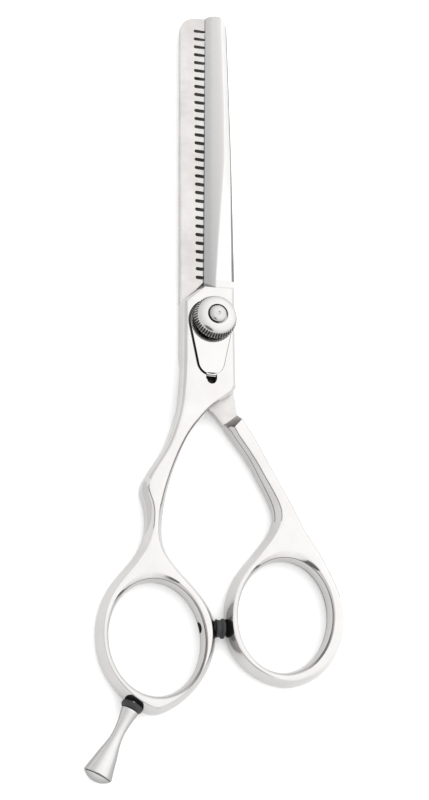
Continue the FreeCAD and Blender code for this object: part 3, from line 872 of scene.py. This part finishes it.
def make_dial():
    profile = [
        (STUD_R + 0.03, 6.45), (3.65, 6.45), (3.77, 6.50), (3.80, 6.62), (3.80, 7.25),
        (3.86, 7.38), (4.00, 7.42), (4.76, 7.42), (4.92, 7.47), (4.98, 7.58), (4.98, 7.76),
        (4.82, 8.18), (4.66, 8.60), (4.50, 9.02), (4.41, 9.24), (4.33, 9.36), (4.20, 9.46),
        (3.95, 9.60), (3.60, 9.75), (3.20, 9.87), (2.80, 9.96), (2.50, 10.01), (2.36, 10.02),
        (2.28, 9.98), (2.26, 9.90), (2.24, 9.20), (STUD_R + 0.03, 9.15)]
    depth = {8: 0.08, 9: 0.26, 10: 0.30, 11: 0.30, 12: 0.26, 13: 0.16, 14: 0.04}

    def ripple(row, angle):
        wave = 0.5 + 0.5 * math.cos(KNURLS * angle)
        return depth.get(row, 0.0) * wave
    dial = turned_mesh("dial_skin", profile, KNURLS * 6, at=around_pivot, ripple=ripple,
                       hollow=True)
    return smooth(dial, 45.0)


def make_bolt():
    profile = [
        (3.85, 0.12), (HEAD_R, 0.24), (HEAD_R, 1.05), (3.9, 1.17), (JOURNAL_R, 1.17),
        (JOURNAL_R, 3.2), (2.2, 3.2), (2.2, 5.9), (STUD_R, 5.9), (STUD_R, 10.05),
        (1.91, 10.18), (1.83, 10.30), (1.68, 10.43), (1.45, 10.55), (1.15, 10.64), (0.8, 10.69),
        (0.52, 10.70), (0.42, 10.66), (0.28, 10.56), (0.12, 10.50)]
    bolt = turned_mesh("bolt_skin", profile, 128, at=around_pivot)
    half_x, half_y = 5.0, 0.45
    drive = [(PIVOT_AT[0] + x, PIVOT_AT[1] + y) for x, y in
             ((-half_x, -half_y), (half_x, -half_y), (half_x, half_y), (-half_x, half_y))]
    boolean(bolt, prism("drive slot", drive, BELOW, 0.62))
    return smooth(bolt, 40.0)


# ---- bumper and finger rest ----
def across_bumper(point):
    """Stands a shape turned about Z along the bumper's axis, which runs to the right."""
    x, y, z = point
    return place((z, BUMPER_Y + y, BUMPER_Z - x))


def along_rest(point):
    """Stands a shape turned about Z on the finger ring, along the finger rest's axis."""
    x, y, z = point
    lean = math.radians(REST_LEAN)
    return place((REST_BASE[0] + x * math.cos(lean) - z * math.sin(lean),
                  REST_BASE[1] - x * math.sin(lean) - z * math.cos(lean),
                  REST_Z + y))


def make_bumper():
    start = BUMPER_START_X
    end = BUMPER_END_X
    profile = [
        (0.70, -1.1), (0.83, -0.98), (0.84, start), (1.80, start), (1.95, start + 0.05),
        (1.98, start + 0.16), (1.92, start + 0.30), (1.84, start + 0.45), (1.82, start + 0.75),
        (1.84, end - 0.86), (1.95, end - 0.78), (2.10, end - 0.66), (2.15, end - 0.50),
        (2.15, end - 0.30), (2.08, end - 0.14), (1.90, end - 0.04), (1.6, end), (0.2, end)]
    return smooth(turned_mesh("bumper_skin", profile, 96, at=across_bumper), 60.0)


def make_rest_pad():
    profile = [
        (0.90, 0.0), (1.90, 0.0), (2.12, 0.06), (2.25, 0.25), (2.33, 0.60), (2.30, 0.90),
        (2.20, 1.12), (2.08, 1.28), (1.98, 1.36), (1.86, 1.40), (0.90, 1.40)]
    return smooth(turned_mesh("rest_pad_skin", profile, 96, at=along_rest, hollow=True), 60.0)


def make_finger_rest():
    base = 1.4
    flare = natural_spline([(1.88, 0.20), (1.45, 2.5), (1.23, 5.2), (1.50, 7.7), (2.05, 9.9),
                            (2.58, 12.3), (3.08, 14.4)])
    profile = [(0.85, -1.8), (0.88, -1.75), (0.88, base), (1.70, base), (1.83, base + 0.07)]
    for k in range(6):
        for i in range(6):
            radius, height = flare(k, i / 6)
            profile.append((float(radius), base + float(height)))
    rim = base + 14.4
    profile += [(3.06, rim + 0.02), (3.09, rim + 0.10), (3.09, rim + 0.26), (3.04, rim + 0.35),
                (2.94, rim + 0.39), (2.86, rim + 0.42), (2.84, rim + 0.50), (2.87, rim + 0.58)]
    dome_r, dome_height = 2.87, 1.12
    ball_r = (dome_r ** 2 + dome_height ** 2) / (2 * dome_height)
    for i in range(1, 15):
        radius = dome_r * math.cos(0.5 * math.pi * i / 15)
        lift = math.sqrt(ball_r ** 2 - radius ** 2) - (ball_r - dome_height)
        profile.append((radius, rim + 0.60 + lift))
    profile.append((0.05, rim + 0.60 + dome_height))
    return smooth(turned_mesh("finger_rest_skin", profile, 96, at=along_rest), 50.0)


# ---- materials ----
FINE_RELIEF = 0.00002
ACROSS_BLADE = (0.12, 1.0, 1.0)


class Nodes:
    """Small helper that adds and wires the nodes of a material or the world."""

    def __init__(self, tree, space="Object"):
        self.tree = tree
        self.coords = tree.nodes.new("ShaderNodeTexCoord").outputs[space]

    def add(self, kind, values=(), **named):
        """New node; its inputs, by order or by name, get a constant or a link each."""
        node = self.tree.nodes.new(kind)
        pairs = list(zip(node.inputs, values))
        pairs += [(node.inputs[key], value) for key, value in named.items()]
        for socket, value in pairs:
            self.feed(socket, value)
        return node

    def feed(self, socket, value):
        if isinstance(value, bpy.types.NodeSocket):
            self.tree.links.new(value, socket)
        else:
            socket.default_value = value

    def noise(self, scale, detail=3.0, roughness=0.5, stretch=(1, 1, 1)):
        mapping = self.add("ShaderNodeMapping", Vector=self.coords, Scale=stretch)
        noise = self.add("ShaderNodeTexNoise", Vector=mapping.outputs["Vector"], Scale=scale,
                         Detail=detail, Roughness=roughness)
        return noise.outputs["Fac"]

    def span(self, value, low, high, to_low, to_high):
        """Value stretched from one range to another, and kept inside it."""
        node = self.add("ShaderNodeMapRange", (value, low, high, to_low, to_high))
        return node.outputs["Result"]

    def math(self, operation, a, b):
        node = self.add("ShaderNodeMath", (a, b))
        node.operation = operation
        return node.outputs["Value"]

    def vector_math(self, operation, output, a, b):
        node = self.add("ShaderNodeVectorMath", (a, b))
        node.operation = operation
        return node.outputs[output]

    def ramp(self, value, stops):
        node = self.add("ShaderNodeValToRGB")
        elements = node.color_ramp.elements
        while len(elements) < len(stops):
            elements.new(0.5)
        for element, (position, colour) in zip(elements, stops):
            element.position = position
            element.color = (*colour, 1.0)
        self.feed(node.inputs["Fac"], value)
        return node.outputs["Color"]

    def surface(self, **values):
        """Feed the material's inputs, named with _ for a space."""
        for key, value in values.items():
            self.feed(self.shader.inputs[key.replace("_", " ")], value)

    def bump(self, height, strength, distance):
        node = self.add("ShaderNodeBump", Strength=strength, Distance=distance, Height=height)
        self.surface(Normal=node.outputs["Normal"])


def grey(level):
    return (level, level, level)


def new_material(name, metallic=0.0):
    material = bpy.data.materials.new(name)
    material.use_nodes = True
    n = Nodes(material.node_tree)
    n.material = material
    n.shader = n.tree.nodes["Principled BSDF"]
    n.surface(Metallic=metallic)
    return n


def metal(name, dark, light, rough, bump=0.03, rim=1.0):
    """Polished steel: faint clouding, hairline scratches and slightly uneven gloss; rim is how
    much of the colour is left where the surface turns away, a painted shade."""
    n = new_material(name, metallic=1.0)
    cloud = n.noise(160.0, 4.0, 0.55)
    colour = n.ramp(cloud, [(0.3, dark), (0.7, light)])
    # painted shade: the colour darkens where the surface turns away
    if rim < 1.0:
        facing = n.add("ShaderNodeLayerWeight").outputs["Facing"]
        edge = n.ramp(facing, [(0.25, grey(1.0)), (0.72, grey(rim))])
        colour = n.vector_math("MULTIPLY", "Vector", colour, edge)
    hairs = n.noise(900.0, 2.0, 0.6, stretch=(1.0, 0.06, 1.0))
    patches = n.noise(420.0, 3.0, 0.6)
    gloss = n.math("ADD", n.span(patches, 0.3, 0.7, *rough),
                   n.span(hairs, 0.62, 0.80, 0.0, 0.06))
    n.surface(Base_Color=colour, Roughness=gloss)
    n.bump(n.math("ADD", hairs, patches), bump, FINE_RELIEF)
    return n.material


def shaded_ground_steel(name):
    """Hollow-ground face of the cutting blade, with painted shade: darker towards its edge."""
    n = new_material(name, metallic=1.0)
    x = n.add("ShaderNodeSeparateXYZ", Vector=n.coords).outputs["X"]
    grain = n.noise(1600.0, 3.0, 0.7, stretch=ACROSS_BLADE)
    # painted shade: the colour darkens from the ridge towards the cutting edge
    edge_x = ORIGIN[0] - 1.1 * MM
    edge_shade = n.span(x, edge_x, edge_x + 4.3 * MM, 0.0, 0.9)
    tone = n.math("ADD", edge_shade, n.span(grain, 0.3, 0.7, 0.0, 0.1))
    colour = n.ramp(tone, [(0.05, grey(0.335)), (0.25, grey(0.345)), (0.45, (0.405, 0.402, 0.40)),
                           (1.0, (0.415, 0.405, 0.395))])
    n.surface(Base_Color=colour, Roughness=n.span(grain, 0.3, 0.7, 0.10, 0.18))
    n.bump(grain, 0.05, FINE_RELIEF)
    return n.material


def brushed_steel(name):
    """Satin ground steel with fine cross grain and a few greasy smudges."""
    n = new_material(name, metallic=1.0)
    grain = n.noise(1600.0, 3.0, 0.7, stretch=ACROSS_BLADE)
    smudge = n.noise(170.0, 5.0, 0.6)
    tone = n.math("ADD", n.span(grain, 0.3, 0.7, 0.0, 0.35), n.span(smudge, 0.35, 0.7, 0.0, 0.65))
    colour = n.ramp(tone, [(0.15, (0.375, 0.36, 0.35)), (0.75, (0.43, 0.42, 0.41))])
    gloss = n.math("ADD", n.span(grain, 0.3, 0.7, 0.24, 0.34), n.span(smudge, 0.3, 0.7, 0.06, 0.0))
    n.surface(Base_Color=colour, Roughness=gloss)
    n.bump(grain, 0.10, FINE_RELIEF)
    return n.material


def rubber(name, low, high, rough=(0.55, 0.75)):
    """Dull black rubber or plastic: pebbled, with dusty lighter specks."""
    n = new_material(name)
    cloud = n.noise(500.0)
    mixed = n.math("ADD", n.span(n.noise(2400.0, 4.0, 0.6), 0.3, 0.7, 0.0, 0.6),
                   n.span(cloud, 0.3, 0.7, 0.0, 0.4))
    n.surface(Base_Color=n.ramp(mixed, [(0.1, low), (0.9, high)]),
              Roughness=n.span(cloud, 0.3, 0.7, *rough))
    n.bump(mixed, 0.35, 2 * FINE_RELIEF)
    return n.material


def floor_paper(name):
    """White paper that glows a little, as it does under the light of a tent."""
    n = new_material(name)
    n.surface(Base_Color=n.ramp(n.noise(40.0), [(0.3, grey(0.83)), (0.7, grey(0.85))]),
              Roughness=0.9, Specular_IOR_Level=0.1, Emission_Color=(1.0, 1.0, 1.0, 1.0),
              Emission_Strength=FLOOR_GLOW)
    return n.material


# ---- camera, light and floor ----
CAMERA_AT = (-83.41, -120.08, 319.89)
CAMERA_TO = (1.446, -17.183, 3.2)
LENS = 69.94
KEY_DIRECTION = (0.501, 0.300, 0.811)
TENT_LEVELS = [(0.0, 0.52), (0.45, 0.59), (0.62, 0.68), (0.80, 0.80), (0.93, 0.845), (1.0, 0.89)]
TENT_STRENGTH = 2.45
# Where the dark figure stands: direction, cosines where its edge fades, and its share of light.
PHOTOGRAPHER_AT = (-0.25, -0.52, 0.817)
FIGURE_EDGE = (0.945, 0.980)
FIGURE_LEVEL = 0.20
FLOOR_GLOW = 0.22


def make_camera():
    data = bpy.data.cameras.new("camera")
    data.sensor_width = 36.0
    data.lens = LENS
    data.clip_start = 0.01
    camera = bpy.data.objects.new("camera", data)
    bpy.context.collection.objects.link(camera)
    camera.location = place(CAMERA_AT)
    forward = (Vector(place(CAMERA_TO)) - camera.location).normalized()
    right = forward.cross(Vector((0.0, 1.0, 0.0))).normalized()
    turn = Matrix((right, right.cross(forward), -forward)).transposed()
    camera.rotation_euler = turn.to_euler()
    bpy.context.scene.camera = camera


def make_floor():
    """Flat sheet of squares, in metres."""
    half = 1.5
    count = 8
    ticks = [half * (2 * i / count - 1) for i in range(count + 1)]
    points = [(x, y, 0.0) for x in ticks for y in ticks]
    corners = [i * (count + 1) + j for i in range(count) for j in range(count)]
    faces = [(a, a + 1, a + count + 2, a + count + 1) for a in corners]
    floor = add_object("floor", points, faces, at=tuple)
    floor.data.materials.append(floor_paper("floor_paper"))


def make_world():
    """Light tent: white walls with a brighter soft box overhead and to the right, and
    the dark figure of the photographer."""
    world = bpy.data.worlds.new("tent")
    bpy.context.scene.world = world
    world.use_nodes = True
    n = Nodes(world.node_tree, "Generated")
    background = n.tree.nodes["Background"]

    def facing(direction):
        return n.vector_math("DOT_PRODUCT", "Value", n.coords, direction)
    tent = n.ramp(facing(KEY_DIRECTION), [(at, grey(level)) for at, level in TENT_LEVELS])
    figure = n.span(facing(PHOTOGRAPHER_AT), *FIGURE_EDGE, 1.0, FIGURE_LEVEL)
    n.feed(background.inputs["Color"], tent)
    n.feed(background.inputs["Strength"], n.math("MULTIPLY", figure, TENT_STRENGTH))


# ---- where the second materials go ----
def in_recess(x, y, z, normal):
    """Walls and floor of the plate's recess and of the tab hole, painted dark as shade."""
    near = -6.0 < x < 1.6 and -15.0 < y < 5.2
    wall = abs(normal.z) < 0.3 and 3.8 < z < RICASSO_TOP and abs(x) < 5.15
    bed = normal.z > 0.9 and z < RICASSO_TOP - 0.2
    return near and (wall or bed)


def on_edge_land(x, y, z, normal):
    """Upright face under the cutting edge, painted dark as a shadow line."""
    return y > 9.5 and x < -0.5 and normal.x < -0.9 and z > JOINT_PLANE


def on_ride_face(x, y, z, normal):
    """Flat of the thumb side that faces the finger side."""
    return normal.z > 0.95 and abs(z - JOINT_PLANE) < 0.05


def on_end_face(x, y, z, normal):
    """Sloping face that ends the ricasso, painted much lighter as a highlight."""
    return END_REACH_Y[0] < y < END_REACH_Y[1] and normal.y > 0.5 and z > 3.6


def on_end_facet(x, y, z, normal):
    """The part of it beside the cutting edge, painted dark as shade."""
    return on_end_face(x, y, z, normal) and x < END_SPLIT_X


def in_knurl(x, y, z, normal):
    """Bottoms of the dial's knurls, painted dark as shade in the grooves."""
    dx, dy = x - PIVOT_AT[0], y - PIVOT_AT[1]
    groove = math.cos(KNURLS * math.atan2(dy, dx)) > -0.1
    return 7.5 < z < 9.1 and math.hypot(dx, dy) > 4.1 and groove


def in_dial_gap(x, y, z, normal):
    """Narrow gap round the end of the bolt, on its left side, painted dark as shade."""
    near_bolt = math.hypot(x - PIVOT_AT[0], y - PIVOT_AT[1]) < DIAL_BORE_R
    return near_bolt and z < 9.97 and x < PIVOT_AT[0] + 0.4


def on_tab_fold(x, y, z, normal):
    """Fold and end of the plate's tab, painted dark as shade over the hole."""
    return normal.y < -0.35 and (y < -12.74 or z > RICASSO_TOP - 0.3)


def inside_hole(hole, grow, x, y):
    """Whether a point is inside a ring hole's ellipse widened by grow."""
    centre_x, centre_y, half_width, half_length, tilt = hole
    c, s = math.cos(math.radians(tilt)), math.sin(math.radians(tilt))
    u = (x - centre_x) * c + (y - centre_y) * s
    v = (y - centre_y) * c - (x - centre_x) * s
    return (u / (half_width + grow)) ** 2 + (v / (half_length + grow)) ** 2 < 1.0


def on_rim_line(hole, x, y, z):
    """Two narrow rows of a ring's inner wall: under its rim and at its waist."""
    return inside_hole(hole, 0.8, x, y) and (4.78 < z < 4.92 or 1.9 < z < 2.5)


def on_finger_line(x, y, z, normal):
    """Narrow shaded lines of the finger side: the ring's wall and the ridge of the notch."""
    rim = on_rim_line(FINGER_HOLE, x, y, z)
    drop = crown_height(y) - z
    scoop = -47.5 < y < -38.0 and x < -11.0 and 0.02 < drop < 0.3 and normal.x < -0.1
    return rim or scoop


def on_blade_face(x, y, z, normal):
    """Hollow-ground face between the cutting edge and the ridge, which takes the painted shade."""
    return y > 8.7 and x < RIDGE_X(y) and normal.z > 0.5 and z > JOINT_PLANE + 0.1


def on_spine_bevel(x, y, z, normal):
    """Bevel between the ridge and the back of the cutting blade, painted lighter as a highlight.
    """
    return y > 10.6 and x > RIDGE_X(y) and normal.z > 0.5 and z > JOINT_PLANE + 0.1


def on_spine_line(x, y, z, normal):
    """Narrow shaded line along the back of the cutting blade."""
    narrow = 0.14 * (SPINE_X(y) - RIDGE_X(y))
    return y > 10.6 and x > SPINE_X(y) - narrow and normal.z > 0.3 and z > JOINT_PLANE + 0.1


def on_rest_groove(x, y, z, normal):
    """Groove just above the rim of the finger rest, painted dark as shade."""
    lean = math.radians(REST_LEAN)
    along = (REST_BASE[0] - x) * math.sin(lean) + (REST_BASE[1] - y) * math.cos(lean)
    return REST_GROOVE[0] < along < REST_GROOVE[1]


def on_thumb_line(x, y, z, normal):
    """Narrow shaded lines of the thumb side: the ring's wall and the edges of the facets."""
    rim = on_rim_line(THUMB_HOLE, x, y, z)
    drop = crown_height(y) - z
    on_shank = -44.0 < y < -23.0 and normal.x < -0.15
    ridge = on_shank and 0.02 < drop < 0.16 and normal.z < 0.97
    facet = on_shank and 1.8 < drop < 2.4
    return rim or ridge or facet


def on_thumb_edge(x, y, z, normal):
    """Softly shaded line along the right edge of the thumb shank."""
    drop = crown_height(y) - z
    outside = not inside_hole(THUMB_HOLE, 1.8, x, y)
    return outside and -60.0 < y < -21.0 and 0.01 < drop < 0.5 and normal.x > 0.15


def in_slot(x, y, z, normal):
    """Side walls and closed ends of the slots between the teeth, painted dark as shade."""
    return 10.8 < y < 75.2 and -4.6 < x and abs(normal.z) < 0.1 and x < COMB_TIP_X - 0.02


def build_shears():
    steel = metal("polished_steel", (0.435, 0.425, 0.418), (0.465, 0.457, 0.45), (0.05, 0.09))
    satin = brushed_steel("satin_steel")
    ground = shaded_ground_steel("shaded_ground_steel")
    screw = metal("screw_steel", (0.34, 0.335, 0.33), (0.44, 0.435, 0.43), (0.10, 0.22), bump=0.10)
    spring = metal("spring_steel", (0.45, 0.445, 0.44), (0.47, 0.465, 0.46), (0.04, 0.07))
    # painted shade: the dial and the finger rest darken where their surfaces turn away (rim)
    dial = metal("dial_steel", (0.42, 0.415, 0.41), (0.46, 0.455, 0.45), (0.06, 0.12), rim=0.72)
    rest = metal("rest_steel", (0.42, 0.415, 0.41), (0.45, 0.445, 0.44), (0.08, 0.15), rim=0.4)
    # painted shade: near-black steel on gaps, slots, recesses, grooves and folds that lie in
    # shadow
    deep_shade = metal("painted_shade_steel", grey(0.05), grey(0.12), (0.35, 0.5))
    shade = metal("shaded_steel", (0.12, 0.118, 0.115), (0.17, 0.168, 0.165), (0.25, 0.35))
    soft = metal("soft_shade_steel", (0.24, 0.236, 0.23), (0.29, 0.286, 0.28), (0.15, 0.25))
    # painted highlight: much lighter steel for the sloping face that ends the ricasso
    highlight = metal("painted_highlight_steel", (0.88, 0.88, 0.87), (0.93, 0.93, 0.92), (0.10, 0.15))
    # painted highlight: a lighter copy of the polished steel for the spine bevel
    spine = metal("spine_highlight_steel", (0.465, 0.462, 0.458), (0.49, 0.487, 0.482), (0.06, 0.10))
    black = rubber("black_rubber", (0.008, 0.008, 0.009), (0.020, 0.020, 0.022))
    plastic = rubber("washer_plastic", (0.55, 0.54, 0.52), (0.68, 0.67, 0.65), (0.4, 0.5))

    cutting = make_finger_handle()
    finish_piece(cutting, "finger_side", steel, ["cutting_member"])
    paint(cutting, (deep_shade, in_recess), (deep_shade, on_edge_land), (highlight, on_end_face),
          (deep_shade, on_end_facet), (shade, on_finger_line), (ground, on_blade_face),
          (spine, on_spine_bevel), (shade, on_spine_line))
    handle, comb = make_thumb_handle()
    finish_piece(handle, "thumb_side", steel, ["toothed_member"])
    paint(handle, (satin, on_ride_face), (shade, on_thumb_line), (soft, on_thumb_edge))
    finish_piece(comb, "thumb_side", satin, ["toothed_member"])
    paint(comb, (deep_shade, in_slot))
    plate, tab = make_tension_plate()
    finish_piece(plate, "finger_side", spring, ["tension_plate"])
    finish_piece(tab, "finger_side", spring, ["tension_plate"])
    paint(tab, (deep_shade, on_tab_fold))
    cap = make_dial()
    finish_piece(cap, "dial", dial, ["tension_dial"])
    paint(cap, (deep_shade, in_knurl), (deep_shade, in_dial_gap))
    finish_piece(make_bolt(), "finger_side", screw, ["pivot_bolt"])
    finish_piece(make_bumper(), "finger_side", black, ["bumper"])
    finish_piece(make_rest_pad(), "finger_side", black, ["rest_pad"])
    tang = make_finger_rest()
    finish_piece(tang, "finger_side", rest, ["finger_rest"])
    paint(tang, (deep_shade, on_rest_groove))

    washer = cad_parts["pivot_washer"]
    washer.data.materials.clear()
    washer.data.materials.append(plastic)


build_shears()
make_floor()
make_world()
make_camera()
bpy.context.scene.view_settings.view_transform = "Standard"
